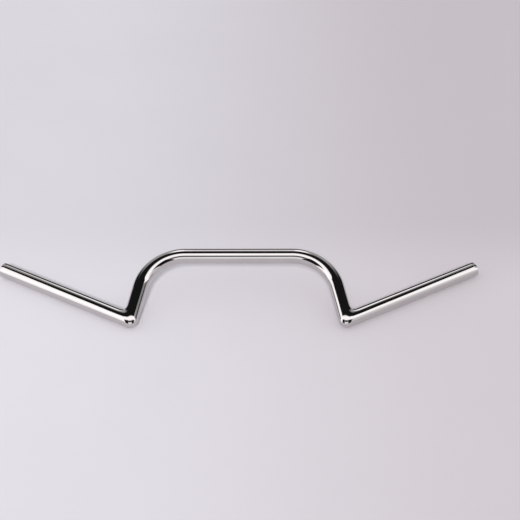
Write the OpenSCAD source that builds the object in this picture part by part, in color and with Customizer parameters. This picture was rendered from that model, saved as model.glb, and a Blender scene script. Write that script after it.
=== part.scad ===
// M-shaped motorcycle handlebar, bent from one chrome-plated steel tube.
// The clamp section runs along X. From it the legs drop forwards, towards -Y, to
// two tight corners, and the grips run level from there, outwards and back to +Y.
// It rests on the two grips. The origin is the middle of the clamp section, on the
// tube's axis, with +Z up.
// All lengths are in millimetres and all angles in degrees.

/* [Tube] */
// Outside diameter of the tube
tube_d = 22.2; // [19:0.1:25.4]
// Wall thickness of the tube
wall = 2; // [1.4:0.1:3]
// Deburring chamfer on the outer and inner rim of each open end
end_chamfer = 0.5; // [0.2:0.1:0.6]

/* [Clamp section] */
// Straight length between the two shoulder bends
clamp_len = 156; // [110:1:200]

/* [Shoulders] */
// Centreline radius of each shoulder bend
shoulder_r = 66; // [50:1:90]
// Angle that the tube turns through in each shoulder bend
shoulder_turn = 77.5; // [68:0.5:90]
// How far bending has drawn the tube's wall in, all round the shoulder
shoulder_draw = 0.2; // [0.15:0.05:0.4]

/* [Legs] */
// Straight length from the shoulder bend to the middle of the corner
leg_len = 56; // [40:1:100]
// Slope of the shoulders and legs, below the level of the grips
leg_drop = 25; // [0:0.5:35]

/* [Corners] */
// Radius of the web that fills the inside of each corner
corner_fillet = 5.5; // [3:0.5:10]
// How far the web stands below the top of the tube
web_step = 0.5; // [0.4:0.1:1]
// How far the outside of the corner stands proud of the tube
corner_swell = 0.2; // [0.15:0.05:0.4]

/* [Grips] */
// Angle between each grip end and the clamp section
grip_sweep = 32.5; // [22:0.5:45]
// Length from the middle of the corner to the open end
grip_len = 234; // [190:1:280]

/* [Hidden] */
$fn = 40;

tube_r = tube_d / 2;
bore_r = tube_r - wall;
// How far the bore is cut past each open end
bore_over = 1;
// Length over which a straight run narrows into a shoulder bend
taper_len = 3;
// How far each shoulder bend reaches inside the straight runs
bend_lap = taper_len + 0.5;

// Where the shoulder bend ends, in the sloping plane of shoulders and legs
shoulder_x = clamp_len / 2 + shoulder_r * sin(shoulder_turn);
shoulder_y = -shoulder_r * (1 - cos(shoulder_turn));

// Middle of the right-hand corner
corner_x = shoulder_x + leg_len * cos(shoulder_turn);
corner_run = shoulder_y - leg_len * sin(shoulder_turn);
corner_pos = [corner_x, corner_run * cos(leg_drop), corner_run * sin(leg_drop)];

// Direction of the grip as the leg sees it: along the leg, to its left and above it
grip_ahead = cos(grip_sweep) * cos(shoulder_turn)
           - sin(grip_sweep) * cos(leg_drop) * sin(shoulder_turn);
grip_left = cos(grip_sweep) * sin(shoulder_turn)
          + sin(grip_sweep) * cos(leg_drop) * cos(shoulder_turn);
grip_above = -sin(grip_sweep) * sin(leg_drop);

// Turn from leg to grip, and the roll about the leg that brings the grip alongside
corner_turn = acos(grip_ahead);
corner_roll = atan2(grip_above, grip_left);

// Centreline radius of the web, and its reach from the corner along leg and grip
corner_r = tube_r - web_step + corner_fillet;
corner_reach = corner_r * tan(corner_turn / 2);

// A round bar of radius r that starts at the local origin and runs along +X
module bar_x(r, len) {
    rotate([90, 0, 90]) cylinder(r = r, h = len);
}

// The narrowing at the start of a straight run of radius r that follows a bend
module taper_x(r) {
    rotate([90, 0, 90]) cylinder(r1 = r - 2 * shoulder_draw, r2 = r, h = taper_len);
}

// A bent bar of radius r round the local origin, from angle a0 on by turn
module bend(r, bend_r, a0, turn) {
    rotate([0, 0, a0]) rotate_extrude(angle = turn) translate([bend_r, 0]) circle(r = r);
}

// Places its children in the sloping plane of the shoulders and legs
module sloped() {
    rotate([leg_drop, 0, 0]) children();
}

// Places its children at the top of the right-hand leg, with +X down the leg
module at_leg() {
    sloped() translate([shoulder_x, shoulder_y, 0])
        rotate([0, 0, -shoulder_turn]) children();
}

// Places its children at the middle of the right-hand corner, with +X along the grip
module at_grip() {
    translate(corner_pos) rotate([0, 0, grip_sweep]) children();
}

// Right-hand shoulder bend as a solid of radius r, its ends inside the straight runs
module shoulder(r) {
    lap_turn = bend_lap / shoulder_r * 180 / PI;
    sloped() translate([clamp_len / 2, -shoulder_r, 0])
        bend(r - shoulder_draw, shoulder_r, 90 - shoulder_turn - lap_turn,
             shoulder_turn + 2 * lap_turn);
}

// Right-hand shoulder, leg, corner and grip as a solid of radius r
module side_run(r, len) {
    shoulder(r);
    at_leg() {
        taper_x(r);
        translate([taper_len, 0, 0]) bar_x(r, leg_len - taper_len);
        rotate([corner_roll, 0, 0]) translate([leg_len - corner_reach, corner_r, 0])
            bend(r - web_step, corner_r, -90, corner_turn);
    }
    translate(corner_pos) sphere(r = r + corner_swell);
    at_grip() bar_x(r, len);
}

// The clamp section as a solid of radius r, narrowed at both ends
module clamp_run(r) {
    translate([-clamp_len / 2, 0, 0]) taper_x(r);
    translate([taper_len - clamp_len / 2, 0, 0]) bar_x(r, clamp_len - 2 * taper_len);
    mirror([1, 0, 0]) translate([-clamp_len / 2, 0, 0]) taper_x(r);
}

// The whole bar as a solid of radius r, with grips of length len
module full_run(r, len) {
    clamp_run(r);
    side_run(r, len);
    mirror([1, 0, 0]) side_run(r, len);
}

// What the deburring takes off the right-hand open end
module end_deburr() {
    at_grip() translate([grip_len - end_chamfer, 0, 0]) rotate([0, 90, 0]) {
        cylinder(r1 = bore_r, r2 = bore_r + end_chamfer, h = end_chamfer);
        difference() {
            cylinder(r = tube_r + wall, h = end_chamfer + bore_over);
            cylinder(r1 = tube_r, r2 = tube_r - end_chamfer, h = end_chamfer);
        }
    }
}

// The whole bar, hollow from end to end
module handlebar() {
    color([0.86, 0.87, 0.88])
        difference() {
            full_run(tube_r, grip_len);
            full_run(bore_r, grip_len + bore_over);
            end_deburr();
            mirror([1, 0, 0]) end_deburr();
        }
}

handlebar();
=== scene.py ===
import math

import bmesh
import bpy
from bpy.props import FloatProperty, FloatVectorProperty, IntProperty, PointerProperty
from bpy.types import Operator, Panel, PropertyGroup
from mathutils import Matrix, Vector


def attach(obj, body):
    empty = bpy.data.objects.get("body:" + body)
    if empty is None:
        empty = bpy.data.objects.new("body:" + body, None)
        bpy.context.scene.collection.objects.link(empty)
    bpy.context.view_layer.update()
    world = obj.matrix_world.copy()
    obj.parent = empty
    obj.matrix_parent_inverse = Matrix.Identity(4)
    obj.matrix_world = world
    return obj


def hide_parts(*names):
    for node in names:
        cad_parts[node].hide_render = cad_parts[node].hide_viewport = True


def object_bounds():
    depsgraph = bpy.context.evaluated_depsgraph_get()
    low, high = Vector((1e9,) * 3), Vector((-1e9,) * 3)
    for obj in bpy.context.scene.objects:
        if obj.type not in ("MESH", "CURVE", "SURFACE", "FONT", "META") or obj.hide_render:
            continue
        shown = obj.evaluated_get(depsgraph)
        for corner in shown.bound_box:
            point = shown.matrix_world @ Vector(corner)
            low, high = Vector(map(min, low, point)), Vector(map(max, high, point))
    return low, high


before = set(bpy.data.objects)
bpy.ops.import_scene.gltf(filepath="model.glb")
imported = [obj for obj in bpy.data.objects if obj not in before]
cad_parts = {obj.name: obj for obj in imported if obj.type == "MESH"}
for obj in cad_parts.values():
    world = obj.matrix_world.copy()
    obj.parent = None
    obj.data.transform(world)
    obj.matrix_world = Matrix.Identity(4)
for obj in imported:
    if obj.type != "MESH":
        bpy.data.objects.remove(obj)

bl_info = {
    "name": "M-bar handlebar",
    "version": (1, 0, 0),
    "blender": (4, 5, 0),
    "location": "3D View > Sidebar > Handlebar",
    "description": "A bent chrome tube handlebar lying on a pale studio floor",
    "category": "Object",
}

CAD_LOW, CAD_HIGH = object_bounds()

ASIDE = Vector((1.0, 0.0, 0.0))
UP = Vector((0.0, 0.0, 1.0))
MIRROR = Vector((-1.0, 1.0, 1.0))

# How finely the tube is lofted.
BEND_STEP = 1.5  # degrees between two sections of a bend
RIM_STEPS = 4  # sections round each edge of a rim
GRIP_ROLL = 0.25  # share of a grip over which its sections roll level
CLOSING_STEP = 0.001  # length on the UV map of the band that closes the loft

UV_MAP = "along_and_round"
INSIDE = "inside"

# The picture, in pixels, and where the middle of the clamp section shows in it.
FRAME = 520.0
FRAME_MIDDLE = (260.0, 259.5)
CLAMP_MIDDLE = (238.65, 255.7)
SENSOR = 36.0  # millimetres

# What stands round the table.
BLACK = 0.012
CAMERA_GREY = 0.07
PANEL_TINT = (1.0, 0.985, 1.0)
FILL_TINT = (0.97, 0.96, 1.0)
BACKDROP = (0.66, 0.62, 0.66, 1.0)
CEILING_HEIGHT = 1.3
CEILING_LEFT, CEILING_RIGHT = -1.32, 1.27
CEILING_FRONT, CEILING_BACK = -0.25, 0.7
FLOOR_RINGS = (0.5, 1.0, 2.0, 4.0, 9.0)
FLOOR_SPOKES = 64


class TubeSizes(PropertyGroup):
    """Sizes of the bent tube. They repeat the part's own source."""

    tube: FloatProperty(
        name="Tube", description="Outside diameter of the tube", default=0.0222, unit="LENGTH"
    )
    wall: FloatProperty(
        name="Wall", description="Thickness of the tube's wall", default=0.002, unit="LENGTH"
    )
    clamp: FloatProperty(
        name="Clamp section",
        description="Length of the straight middle section",
        default=0.156,
        unit="LENGTH",
    )
    shoulder: FloatProperty(
        name="Shoulder radius",
        description="Bend radius of the shoulders, to the tube's axis",
        default=0.066,
        unit="LENGTH",
    )
    turn: FloatProperty(
        name="Shoulder turn",
        description="Angle that each shoulder turns through",
        default=math.radians(77.5),
        subtype="ANGLE",
    )
    leg: FloatProperty(
        name="Leg",
        description="Straight length from a shoulder's end to the corner",
        default=0.056,
        unit="LENGTH",
    )
    drop: FloatProperty(
        name="Leg drop",
        description="How far the shoulders and legs slope down towards the grips",
        default=math.radians(25.0),
        subtype="ANGLE",
    )
    fillet: FloatProperty(
        name="Corner fillet",
        description="Radius of the inside of each corner",
        default=0.005,
        unit="LENGTH",
    )
    sweep: FloatProperty(
        name="Grip sweep",
        description="How far the grips sweep back",
        default=math.radians(32.5),
        subtype="ANGLE",
    )
    grip: FloatProperty(
        name="Grip",
        description="Length of each grip from its corner to its end",
        default=0.234,
        unit="LENGTH",
    )
    lip: FloatProperty(
        name="End rounding",
        description="Rounding of the rims at the tube's ends",
        default=0.0005,
        unit="LENGTH",
    )
    around: IntProperty(
        name="Faces around", description="Mesh faces around the tube", default=96, min=24
    )
    step: FloatProperty(
        name="Step",
        description="Longest mesh face along the tube's straight lengths",
        default=0.006,
        unit="LENGTH",
    )


class Finishes(PropertyGroup):
    """Colours of the plating, and of the floor with painted light on it."""

    chrome: FloatVectorProperty(
        name="Chrome",
        description="Reflection colour of the polished plating",
        subtype="COLOR",
        size=3,
        default=(0.615, 0.592, 0.587),
    )
    bore: FloatVectorProperty(
        name="Bore",
        description="Reflection colour of the thin dull plating inside the tube",
        subtype="COLOR",
        size=3,
        default=(0.30, 0.29, 0.28),
    )
    # The floor's two colours carry painted light falloff: lighter at the left, darker at the
    # right.
    floor_lit_left: FloatVectorProperty(
        name="Floor left",
        description="Lilac white of the floor at the left",
        subtype="COLOR",
        size=3,
        default=(0.755, 0.735, 0.77),
    )
    floor_shaded_right: FloatVectorProperty(
        name="Floor right",
        description="Mauve grey of the floor at the right",
        subtype="COLOR",
        size=3,
        default=(0.600, 0.560, 0.585),
    )


class StudioSizes(PropertyGroup):
    """The camera and the light."""

    elevation: FloatProperty(
        name="Camera elevation",
        description="How steeply the camera looks down",
        default=math.radians(35.0),
        subtype="ANGLE",
    )
    turned: FloatProperty(
        name="Camera turn",
        description="How far the camera stands round to the left",
        default=math.radians(0.15),
        subtype="ANGLE",
    )
    distance: FloatProperty(
        name="Camera distance",
        description="How far back the camera stands from the clamp section",
        default=2.2,
        unit="LENGTH",
    )
    lens: FloatProperty(
        name="Lens", description="Focal length of the camera", default=103.94, unit="CAMERA"
    )
    key: FloatProperty(
        name="Key light", description="Strength of the soft light over the camera", default=1.9
    )
    key_height: FloatProperty(
        name="Key height",
        description="How high over the horizon the key light stands",
        default=math.radians(36.5),
        subtype="ANGLE",
    )
    key_turned: FloatProperty(
        name="Key turn",
        description="How far the key light stands round to the left",
        default=math.radians(3.0),
        subtype="ANGLE",
    )
    key_spread: FloatProperty(
        name="Key spread",
        description="How wide the key light looks, which softens its shadows",
        default=math.radians(7.0),
        subtype="ANGLE",
    )
    fill: FloatProperty(
        name="Fill", description="Strength of the light from all round", default=0.60, min=0.0
    )


def node(tree, kind, label="", **settings):
    made = tree.nodes.new(kind)
    made.label = label
    for name, value in settings.items():
        setattr(made, name, value)
    return made


def feed(tree, socket, value):
    """Links a socket's source, or sets a plain value on it."""
    if isinstance(value, bpy.types.NodeSocket):
        tree.links.new(value, socket)
    else:
        socket.default_value = value


def maths(tree, operation, first, second=0.0, label=""):
    made = node(tree, "ShaderNodeMath", label, operation=operation)
    feed(tree, made.inputs[0], first)
    feed(tree, made.inputs[1], second)
    return made.outputs[0]


def product(tree, *factors):
    made = factors[0]
    for factor in factors[1:]:
        made = maths(tree, "MULTIPLY", made, factor)
    return made


def ease(tree, value, start, end, low=0.0, high=1.0, label=""):
    """Goes smoothly from low to high while value goes from start to end."""
    made = node(tree, "ShaderNodeMapRange", label, interpolation_type="SMOOTHSTEP")
    for socket, given in zip(made.inputs, (value, start, end, low, high)):
        feed(tree, socket, given)
    return made.outputs[0]


def band(tree, value, rise, fall):
    """1 between two soft edges and 0 outside them. Each edge is where it starts and ends."""
    return product(tree, ease(tree, value, *rise), ease(tree, value, *fall, 1.0, 0.0))


def mixed(tree, share, first, second, label=""):
    """A number between first and second. The node's number inputs are its 3rd and 4th."""
    made = node(tree, "ShaderNodeMix", label, data_type="FLOAT")
    for socket, given in zip(made.inputs[2:4], (first, second)):
        feed(tree, socket, given)
    feed(tree, made.inputs["Factor"], share)
    return made.outputs[0]


def mixed_colour(tree, share, first, second, label=""):
    """A colour between first and second. The node's colour inputs are its 7th and 8th."""
    made = node(tree, "ShaderNodeMix", label, data_type="RGBA")
    for socket, given in zip(made.inputs[6:8], (first, second)):
        feed(tree, socket, given)
    feed(tree, made.inputs["Factor"], share)
    return made.outputs[2]


def noise(tree, where, scale, detail, label):
    made = node(tree, "ShaderNodeTexNoise", label)
    feed(tree, made.inputs["Vector"], where)
    made.inputs["Scale"].default_value = scale
    made.inputs["Detail"].default_value = detail
    return made.outputs["Fac"]


def bump(tree, height, strength, distance, label):
    made = node(tree, "ShaderNodeBump", label)
    made.inputs["Strength"].default_value = strength
    made.inputs["Distance"].default_value = distance
    feed(tree, made.inputs["Height"], height)
    return made.outputs["Normal"]


def new_material(name):
    made = bpy.data.materials.new(name)
    made.use_nodes = True
    tree = made.node_tree
    return made, tree, tree.nodes["Principled BSDF"]


def finished(mesh, name):
    """Turns a mesh under work into mesh data with a name."""
    data = bpy.data.meshes.new(name)
    mesh.to_mesh(data)
    mesh.free()
    return data


def in_scene(name, data):
    made = bpy.data.objects.new(name, data)
    bpy.context.scene.collection.objects.link(made)
    return made


def steps_along(sizes, length):
    """How many equal steps cover a straight length."""
    return max(1, math.ceil(length / sizes.step))


def steps_round(angle):
    """How many equal steps cover a bend."""
    return math.ceil(math.degrees(angle) / BEND_STEP)


def smooth(share):
    return share * share * (3 - 2 * share)


def square_to(way, roll):
    """Two square directions across a straight run of tube, the second one nearest to roll."""
    tall = (roll - way * roll.dot(way)).normalized()
    return tall.cross(way), tall


def corner_fan(sizes, corner, leg_way, grip_way):
    """Sections that fan round the inside of the right corner, from the leg to the grip.

    With them come how far from the corner's point the fan starts and ends, and the direction
    square to the corner's plane.
    """
    radius = sizes.tube / 2
    inner = (grip_way - leg_way).normalized()
    onward = (leg_way + grip_way).normalized()
    half_open = math.acos(max(-1.0, min(1.0, -leg_way.dot(grip_way)))) / 2
    fan = math.pi / 2 - half_open
    hub_gap = radius + sizes.fillet
    hub = corner + inner * (hub_gap / math.sin(half_open))
    reach = hub_gap / math.tan(half_open)
    corner_up = grip_way.cross(leg_way).normalized()
    if corner_up.z < 0:
        corner_up.negate()

    # The outside follows the straight tubes near the fan's ends, and between them the round
    # nose about the corner's point.
    nose = math.atan(reach / (hub_gap + radius))
    gap = (corner - hub).length
    sections = []
    count = 2 * steps_round(fan)
    for i in range(count + 1):
        a = -fan + 2 * fan * i / count
        ray = (-inner * math.cos(a) + onward * math.sin(a)).normalized()
        from_end = fan - abs(a)
        if from_end <= nose:
            far = (hub_gap + radius) / math.cos(from_end)
        else:
            far = gap * math.cos(a) + math.sqrt(radius**2 - (gap * math.sin(a)) ** 2)
        middle = hub + ray * ((sizes.fillet + far) / 2)
        sections.append((middle, -ray, corner_up, (far - sizes.fillet) / 2 - radius))
    return sections, reach, corner_up


def right_half(sizes):
    """Sections of the tube from the middle to the right end, and the way its grip points.

    Each section is (centre, flat, tall, stretch): two square directions across the tube, and
    how much further than the round tube it reaches along flat.
    """
    half = sizes.clamp / 2
    ahead = Vector((0.0, -math.cos(sizes.drop), -math.sin(sizes.drop)))
    slope_up = ASIDE.cross(ahead) * -1
    leg_way = ASIDE * math.cos(sizes.turn) + ahead * math.sin(sizes.turn)
    grip_way = Vector((math.cos(sizes.sweep), math.sin(sizes.sweep), 0.0))

    def on_shoulder(angle):
        outward = half + sizes.shoulder * math.sin(angle)
        forward = sizes.shoulder * (1 - math.cos(angle))
        return ASIDE * outward + ahead * forward

    leg_top = on_shoulder(sizes.turn)
    corner = leg_top + leg_way * sizes.leg
    fan, reach, corner_up = corner_fan(sizes, corner, leg_way, grip_way)

    sections = []
    count = steps_along(sizes, half)
    for i in range(count):
        sections.append((ASIDE * (half * i / count), -ahead, slope_up, 0.0))

    count = steps_round(sizes.turn)
    for i in range(count):
        a = sizes.turn * i / count
        flat = ASIDE * math.sin(a) - ahead * math.cos(a)
        sections.append((on_shoulder(a), flat, slope_up, 0.0))

    leg_run = sizes.leg - reach
    count = steps_along(sizes, leg_run)
    for i in range(count):
        share = i / count
        flat, tall = square_to(leg_way, slope_up.lerp(corner_up, smooth(share)))
        sections.append((leg_top + leg_way * (leg_run * share), flat, tall, 0.0))

    sections += fan

    grip_start = corner + grip_way * reach
    grip_run = sizes.grip - reach
    count = steps_along(sizes, grip_run)
    for i in range(1, count + 1):
        share = i / count
        rolled = smooth(min(1.0, share / GRIP_ROLL))
        flat, tall = square_to(grip_way, corner_up.lerp(UP, rolled))
        centre = grip_start + grip_way * ((grip_run - sizes.lip) * share)
        sections.append((centre, flat, tall, 0.0))
    return sections, grip_way


def mirrored(section):
    centre, flat, tall, stretch = section
    return centre * MIRROR, flat * MIRROR, tall * MIRROR, stretch


def rim(sizes, section, way):
    """Loops from the outer skin's end over the rounded rim into the bore."""
    centre, flat, tall, _ = section
    lip = sizes.lip
    radius = sizes.tube / 2
    bore = radius - sizes.wall
    angles = [math.pi / 2 * k / RIM_STEPS for k in range(1, RIM_STEPS + 1)]
    profile = [(lip * math.sin(a), radius - lip * (1 - math.cos(a))) for a in angles]
    profile.append((lip, bore + lip))
    profile += [(lip * math.cos(a), bore + lip * (1 - math.sin(a))) for a in angles]
    loops = []
    for out, size in profile:
        inside = 0.0 if size > bore + lip / 2 else 1.0
        loops.append((centre + way * out, flat, tall, size, size, inside))
    return loops


def ring(mesh, centre, flat, tall, wide, high, count):
    """One loop of corners round a section."""
    made = []
    for i in range(count):
        a = math.tau * i / count
        point = centre + flat * (wide * math.cos(a)) + tall * (high * math.sin(a))
        made.append(mesh.verts.new(point))
    return made


def skin(mesh, first, second, start, end, inside):
    """One band of faces between two rings, from start to end along the UV map."""
    uv_layer = mesh.loops.layers.uv[UV_MAP]
    inside_layer = mesh.verts.layers.float[INSIDE]
    count = len(first)
    for i in range(count):
        j = (i + 1) % count
        face = mesh.faces.new((first[i], first[j], second[j], second[i]))
        face.smooth = True
        low, high = i / count, (i + 1) / count
        places = ((start, low), (start, high), (end, high), (end, low))
        for loop, place in zip(face.loops, places):
            loop[uv_layer].uv = place
            loop.vert[inside_layer] = inside


def tube_mesh(sizes):
    """The whole tube: outer skin, bore and two rounded rims, as one closed mesh.

    It is lofted through loops of (centre, flat, tall, wide, high, inside), which run along the
    outer skin from left to right, over the right rim, back through the bore and over the left
    rim.
    """
    right, grip_way = right_half(sizes)
    path = [mirrored(section) for section in right[:0:-1]] + right
    radius = sizes.tube / 2
    bore = radius - sizes.wall
    loops = []
    for centre, flat, tall, stretch in path:
        loops.append((centre, flat, tall, radius + stretch, radius, 0.0))
    loops += rim(sizes, path[-1], grip_way)
    for centre, flat, tall, stretch in reversed(path[:-1]):
        loops.append((centre, flat, tall, bore + stretch, bore, 1.0))
    loops += reversed(rim(sizes, path[0], grip_way * MIRROR)[:-1])

    travelled = [0.0]
    for before, after in zip(loops, loops[1:]):
        travelled.append(travelled[-1] + (after[0] - before[0]).length)
    travelled.append(travelled[-1] + CLOSING_STEP)

    mesh = bmesh.new()
    mesh.loops.layers.uv.new(UV_MAP)
    mesh.verts.layers.float.new(INSIDE)
    rings = [ring(mesh, *shape, sizes.around) for *shape, _ in loops]
    for k, (*_, inside) in enumerate(loops):
        following = rings[(k + 1) % len(rings)]
        skin(mesh, rings[k], following, travelled[k], travelled[k + 1], inside)
    bmesh.ops.recalc_face_normals(mesh, faces=mesh.faces)
    return finished(mesh, "chromed_tube")


def chrome_plating(colours):
    """Bright polished chrome: near mirror, with faint buffing lines, haze and ripple."""
    bright_rough, line_rough, haze_rough, bore_rough = 0.030, 0.030, 0.045, 0.42
    ripple_height, line_height = 0.00006, 0.0000006
    buffing_scale = (900.0, 6.0, 1.0)
    dust = (0.36, 0.35, 0.36, 1.0)
    hazed = (0.59, 0.568, 0.565, 1.0)

    made, tree, shader = new_material("Polished chrome plating")
    place = node(tree, "ShaderNodeTexCoord").outputs["Object"]
    round_it = node(tree, "ShaderNodeUVMap", "Along and round", uv_map=UV_MAP)
    inside = node(tree, "ShaderNodeAttribute", "Inside", attribute_name=INSIDE).outputs["Fac"]
    stretch = node(tree, "ShaderNodeMapping", "Buffing runs round the tube")
    stretch.inputs["Scale"].default_value = buffing_scale
    feed(tree, stretch.inputs["Vector"], round_it.outputs["UV"])
    buffed = stretch.outputs["Vector"]
    buffing = noise(tree, buffed, scale=1.0, detail=3.0, label="Buffing lines")
    haze = noise(tree, place, scale=38.0, detail=4.0, label="Handling haze")
    specks = noise(tree, place, scale=1400.0, detail=1.0, label="Dust specks")
    ripple = noise(tree, place, scale=55.0, detail=1.0, label="Draw ripple")

    mark = maths(tree, "MULTIPLY", ease(tree, buffing, 0.45, 0.8), line_rough, "Line roughness")
    veil = maths(tree, "MULTIPLY", ease(tree, haze, 0.48, 0.75), haze_rough, "Haze roughness")
    rough = maths(tree, "ADD", maths(tree, "ADD", mark, veil), bright_rough, "Bright plating")
    feed(tree, shader.inputs["Roughness"], mixed(tree, inside, rough, bore_rough))

    fleck = ease(tree, specks, 0.70, 0.80, 0.0, 0.25, "Dust cover")
    bright = mixed_colour(tree, fleck, (*colours.chrome, 1.0), dust, "Dust")
    hand = ease(tree, haze, 0.35, 0.8, label="Handled")
    dulled = mixed_colour(tree, hand, bright, hazed, "Hazed plating")
    thin = (*colours.bore, 1.0)
    plated = mixed_colour(tree, inside, dulled, thin, "Thin plating in the bore")
    feed(tree, shader.inputs["Base Color"], plated)
    shader.inputs["Metallic"].default_value = 1.0

    ripples = maths(tree, "MULTIPLY", ripple, ripple_height)
    lines = maths(tree, "MULTIPLY", buffing, line_height)
    height = maths(tree, "ADD", ripples, lines)
    relief = bump(tree, height, strength=0.6, distance=1.0, label="Ripple and lines")
    feed(tree, shader.inputs["Normal"], relief)
    return made


def floor_paper(colours):
    """Matt seamless paper with painted light on it: lighter lilac white at the left and in
    front, darker mauve grey at the right.
    """
    lit_front = (1.6, 1.6, 1.6, 1.0)
    cloud_grey = (0.55, 0.52, 0.56, 1.0)
    fibre_white = (0.9, 0.9, 0.9, 1.0)

    made, tree, shader = new_material("Seamless studio paper")
    place = node(tree, "ShaderNodeTexCoord").outputs["Object"]
    split = node(tree, "ShaderNodeSeparateXYZ")
    feed(tree, split.inputs[0], place)
    cloud = noise(tree, place, scale=5.0, detail=3.0, label="Soft clouding")
    fibre = noise(tree, place, scale=900.0, detail=2.0, label="Paper fibre")

    left, right = (*colours.floor_lit_left, 1.0), (*colours.floor_shaded_right, 1.0)
    # Painted light falloff: the floor darkens from left to right.
    across = ease(tree, split.outputs["X"], -0.34, 0.42, label="Left to right")
    colour = mixed_colour(tree, across, left, right, "Lilac to mauve")
    # Painted pool of light: the floor is lighter in front.
    near = ease(tree, split.outputs["Y"], 0.20, -0.02, 0.0, 0.09, "Lighter in front")
    colour = mixed_colour(tree, near, colour, lit_front, "Lit front")
    clouding = ease(tree, cloud, 0.35, 0.7, 0.0, 0.05)
    colour = mixed_colour(tree, clouding, colour, cloud_grey, "Clouding")
    fibres = ease(tree, fibre, 0.4, 0.7, 0.0, 0.03)
    colour = mixed_colour(tree, fibres, colour, fibre_white, "Fibre")
    feed(tree, shader.inputs["Base Color"], colour)
    shader.inputs["Roughness"].default_value = 0.85
    shader.inputs["Specular IOR Level"].default_value = 0.1
    relief = bump(tree, fibre, strength=0.1, distance=0.0002, label="Fibre relief")
    feed(tree, shader.inputs["Normal"], relief)
    return made


def white_panel(tree, x, over, wide):
    """The white panel in front and overhead, and what shows past its top edge.

    The edge steps up at the sides. The panel is brighter low at the left, and dimmer low and
    high up at the right. Past it all is black, but for a dim place at the far left.
    """
    middle_top, side_top = 79.0, 106.0
    soft_start, soft_end = -6.0, 4.0
    lift_left, lift_right = 14.0, 8.0
    low_light, high_light = 1.15, 1.60
    left_gain, right_gain, high_right_gain = 1.35, 0.75, 0.22
    far_left_grey = 0.22

    step = ease(tree, wide, 0.45, 0.50, middle_top, side_top)
    lift = ease(tree, x, -0.9, 0.9, lift_left, lift_right)
    lift = product(tree, ease(tree, wide, 0.66, 0.95), lift)
    edge = maths(tree, "ADD", step, lift, "Top edge of the white panel")
    panel = ease(tree, maths(tree, "SUBTRACT", over, edge), soft_start, soft_end, 1.0, 0.0)

    light = ease(tree, over, 38.0, 54.0, low_light, high_light, "Low wall to white panel")
    low = ease(tree, over, 35.0, 75.0, 1.0, 0.0, "Low in front")
    left = ease(tree, x, -0.85, -0.6, left_gain, 1.0, "Brighter left")
    right = ease(tree, x, 0.6, 0.85, 1.0, right_gain, "Dimmer right")
    high_right = product(tree, ease(tree, x, 0.60, 0.75), ease(tree, over, 84.0, 92.0))
    sides = product(
        tree,
        mixed(tree, low, 1.0, product(tree, left, right)),
        mixed(tree, high_right, 1.0, high_right_gain, "Dim high up on the right"),
    )
    past = ease(tree, x, -0.90, -0.75, far_left_grey, BLACK, "Dim past the panel's left")
    return mixed(tree, panel, past, product(tree, light, sides))


def camera_gap(tree, over, wide):
    """Where the camera stands, in the middle and low in the white panel."""
    beside = ease(tree, wide, 0.28, 0.36, 1.0, 0.0)
    return product(tree, band(tree, over, (22.0, 28.0), (40.0, 48.0)), beside)


def doorways(tree, over, wide):
    """Two doorways in front, one on each side of the camera."""
    tall = band(tree, over, (-3.0, 4.0), (46.0, 54.0))
    return product(tree, tall, band(tree, wide, (0.27, 0.36), (0.74, 0.80)))


def wall_behind(tree, lit, over, wide):
    """The grey wall behind, laid over lit. It has a bright strip in its middle.

    The strip is brightest along its two sides, and dark at its foot.
    """
    wall_grey = 0.48
    strip_light, strip_foot, strip_side_gain = 1.05, 0.03, 1.6

    middle = ease(tree, wide, 0.12, 0.22, 1.0, 0.0, "Middle of the wall behind")
    rise = mixed(tree, middle, ease(tree, over, 110.0, 138.0), ease(tree, over, 112.0, 124.0))
    wall = product(tree, rise, ease(tree, wide, 0.42, 0.68, 1.0, 0.0))
    strip = product(
        tree,
        ease(tree, over, 142.0, 154.0, strip_light, strip_foot),
        ease(tree, wide, 0.035, 0.07, 1.0, strip_side_gain),
    )
    return mixed(tree, wall, lit, mixed(tree, middle, wall_grey, strip))


def studio_world(settings):
    """A plain even fill, and for shiny surfaces the panels that hang round the table.

    The panels are placed by the direction that a shiny surface looks in. x is how far it points
    to the right and wide how far to either side, up to 1. over is its angle in degrees: 0 at
    the horizon in front, 90 straight up and 180 at the horizon behind.
    """
    world = bpy.data.worlds.new("Studio")
    bpy.context.scene.world = world
    world.use_nodes = True
    tree = world.node_tree
    split = node(tree, "ShaderNodeSeparateXYZ")
    feed(tree, split.inputs[0], node(tree, "ShaderNodeTexCoord").outputs["Generated"])
    x, y, z = split.outputs
    tilt = maths(tree, "ARCTAN2", z, maths(tree, "MULTIPLY", y, -1.0))
    over = maths(tree, "MULTIPLY", tilt, 180.0 / math.pi, "Degrees from the front, over all")
    wide = maths(tree, "ABSOLUTE", x, label="To either side")

    lit = white_panel(tree, x, over, wide)
    lit = mixed(tree, camera_gap(tree, over, wide), lit, CAMERA_GREY)
    lit = mixed(tree, doorways(tree, over, wide), lit, BLACK)
    lit = wall_behind(tree, lit, over, wide)

    panels = node(tree, "ShaderNodeCombineColor", "Panel light")
    for socket, part in zip(panels.inputs, PANEL_TINT):
        feed(tree, socket, maths(tree, "MULTIPLY", lit, part))
    plain = (*(settings.fill * part for part in FILL_TINT), 1.0)
    rays = node(tree, "ShaderNodeLightPath")
    seen = mixed_colour(tree, rays.outputs["Is Glossy Ray"], plain, panels.outputs[0])
    seen = mixed_colour(tree, rays.outputs["Is Camera Ray"], seen, BACKDROP, "Backdrop")
    background = tree.nodes["Background"]
    feed(tree, background.inputs["Color"], seen)
    background.inputs["Strength"].default_value = 1.0


def way_to(up, turn):
    """The direction to something in front of the bar, up from it and turned to the left."""
    level = math.cos(up)
    return Vector((-math.sin(turn) * level, -math.cos(turn) * level, math.sin(up)))


def facing(up, turn):
    """How a lamp or camera that stands there is turned to look back."""
    return math.pi / 2 - up, 0.0, -turn


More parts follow.
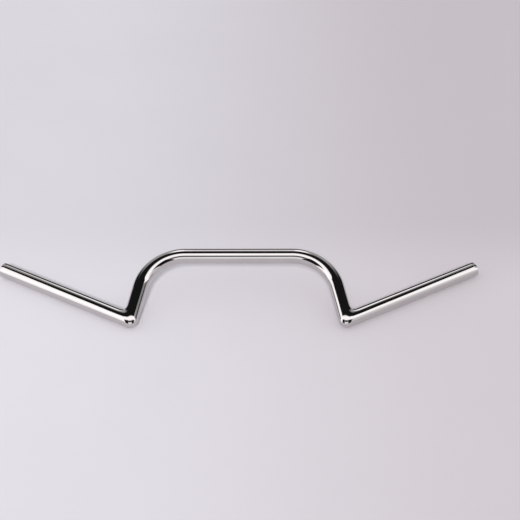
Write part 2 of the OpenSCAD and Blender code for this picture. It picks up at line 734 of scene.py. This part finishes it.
def key_light(settings):
    """A soft distant light over the camera, which reflections leave out."""
    data = bpy.data.lights.new("Key light", "SUN")
    data.energy = settings.key
    data.angle = settings.key_spread
    data.color = PANEL_TINT
    made = in_scene("Key light", data)
    made.location = way_to(settings.key_height, settings.key_turned)
    made.rotation_euler = facing(settings.key_height, settings.key_turned)
    made.visible_glossy = False


def black_ceiling():
    """A black sheet over the table, which only reflections show."""
    corners = (
        (CEILING_LEFT, CEILING_FRONT),
        (CEILING_RIGHT, CEILING_FRONT),
        (CEILING_RIGHT, CEILING_BACK),
        (CEILING_LEFT, CEILING_BACK),
    )
    mesh = bmesh.new()
    mesh.faces.new([mesh.verts.new((x, y, CEILING_HEIGHT)) for x, y in corners])
    cloth, _, shader = new_material("Black studio cloth")
    shader.inputs["Base Color"].default_value = (0.0, 0.0, 0.0, 1.0)
    shader.inputs["Specular IOR Level"].default_value = 0.0
    shader.inputs["Emission Color"].default_value = (1.0, 1.0, 1.0, 1.0)
    shader.inputs["Emission Strength"].default_value = BLACK
    made = in_scene("black_ceiling", finished(mesh, "black_ceiling"))
    made.data.materials.append(cloth)
    for kind in ("camera", "diffuse", "transmission", "volume_scatter", "shadow"):
        setattr(made, "visible_" + kind, False)


def studio_floor(colours):
    """A wide round sheet that lies at the part's lowest point."""
    mesh = bmesh.new()
    level = CAD_LOW.z
    centre = mesh.verts.new((0.0, 0.0, level))
    inner = None
    for radius in FLOOR_RINGS:
        outer = []
        for i in range(FLOOR_SPOKES):
            a = math.tau * i / FLOOR_SPOKES
            outer.append(mesh.verts.new((radius * math.cos(a), radius * math.sin(a), level)))
        for i in range(FLOOR_SPOKES):
            j = (i + 1) % FLOOR_SPOKES
            if inner is None:
                mesh.faces.new((centre, outer[i], outer[j]))
            else:
                mesh.faces.new((inner[i], outer[i], outer[j], inner[j]))
        inner = outer
    made = in_scene("studio_floor", finished(mesh, "studio_floor"))
    made.data.materials.append(floor_paper(colours))


def photo_camera(settings):
    """The camera, at the photograph's height and distance.

    It stands a little aside, so that the clamp section shows where it does in the photograph.
    """
    up, turn = settings.elevation, settings.turned
    back = way_to(up, turn)
    right = Vector((math.cos(turn), -math.sin(turn), 0.0))
    top = back.cross(right)
    pixels = settings.lens / SENSOR * FRAME
    aside = (FRAME_MIDDLE[0] - CLAMP_MIDDLE[0]) / pixels * settings.distance
    raised = (CLAMP_MIDDLE[1] - FRAME_MIDDLE[1]) / pixels * settings.distance
    data = bpy.data.cameras.new("Camera")
    data.lens = settings.lens
    data.sensor_width = SENSOR
    made = in_scene("Camera", data)
    made.location = back * settings.distance + right * aside + top * raised
    made.rotation_euler = facing(up, turn)
    bpy.context.scene.camera = made
    bpy.context.scene.view_settings.view_transform = "Standard"


class HANDLEBAR_OT_tube(Operator):
    """Make the bent chrome tube and let it stand for the plain one"""

    bl_idname = "handlebar.tube"
    bl_label = "Bent tube"

    def execute(self, context):
        made = in_scene("chromed_tube", tube_mesh(context.scene.tube_sizes))
        made.data.materials.append(chrome_plating(context.scene.finishes))
        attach(made, "root")
        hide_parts("handlebar")
        return {"FINISHED"}


class HANDLEBAR_OT_studio(Operator):
    """Lay the floor and set up the light and the camera"""

    bl_idname = "handlebar.studio"
    bl_label = "Studio"

    def execute(self, context):
        studio_floor(context.scene.finishes)
        studio_world(context.scene.studio_sizes)
        key_light(context.scene.studio_sizes)
        black_ceiling()
        photo_camera(context.scene.studio_sizes)
        return {"FINISHED"}


class HANDLEBAR_PT_panel(Panel):
    """Sizes, colours and the pieces in order"""

    bl_idname = "HANDLEBAR_PT_panel"
    bl_label = "M-bar handlebar"
    bl_space_type = "VIEW_3D"
    bl_region_type = "UI"
    bl_category = "Handlebar"

    def draw(self, context):
        for group in ("tube_sizes", "finishes", "studio_sizes"):
            box = self.layout.box()
            settings = getattr(context.scene, group)
            for name in settings.bl_rna.properties.keys():
                if name not in ("rna_type", "name"):
                    box.prop(settings, name)
        for maker in (HANDLEBAR_OT_studio, HANDLEBAR_OT_tube):
            self.layout.operator(maker.bl_idname)


CLASSES = (
    TubeSizes,
    Finishes,
    StudioSizes,
    HANDLEBAR_OT_tube,
    HANDLEBAR_OT_studio,
    HANDLEBAR_PT_panel,
)


def register():
    for each in CLASSES:
        bpy.utils.register_class(each)
    bpy.types.Scene.tube_sizes = PointerProperty(type=TubeSizes)
    bpy.types.Scene.finishes = PointerProperty(type=Finishes)
    bpy.types.Scene.studio_sizes = PointerProperty(type=StudioSizes)


def unregister():
    del bpy.types.Scene.studio_sizes
    del bpy.types.Scene.finishes
    del bpy.types.Scene.tube_sizes
    for each in reversed(CLASSES):
        bpy.utils.unregister_class(each)


def main():
    register()
    bpy.ops.handlebar.studio()
    bpy.ops.handlebar.tube()


if __name__ == "__main__":
    main()
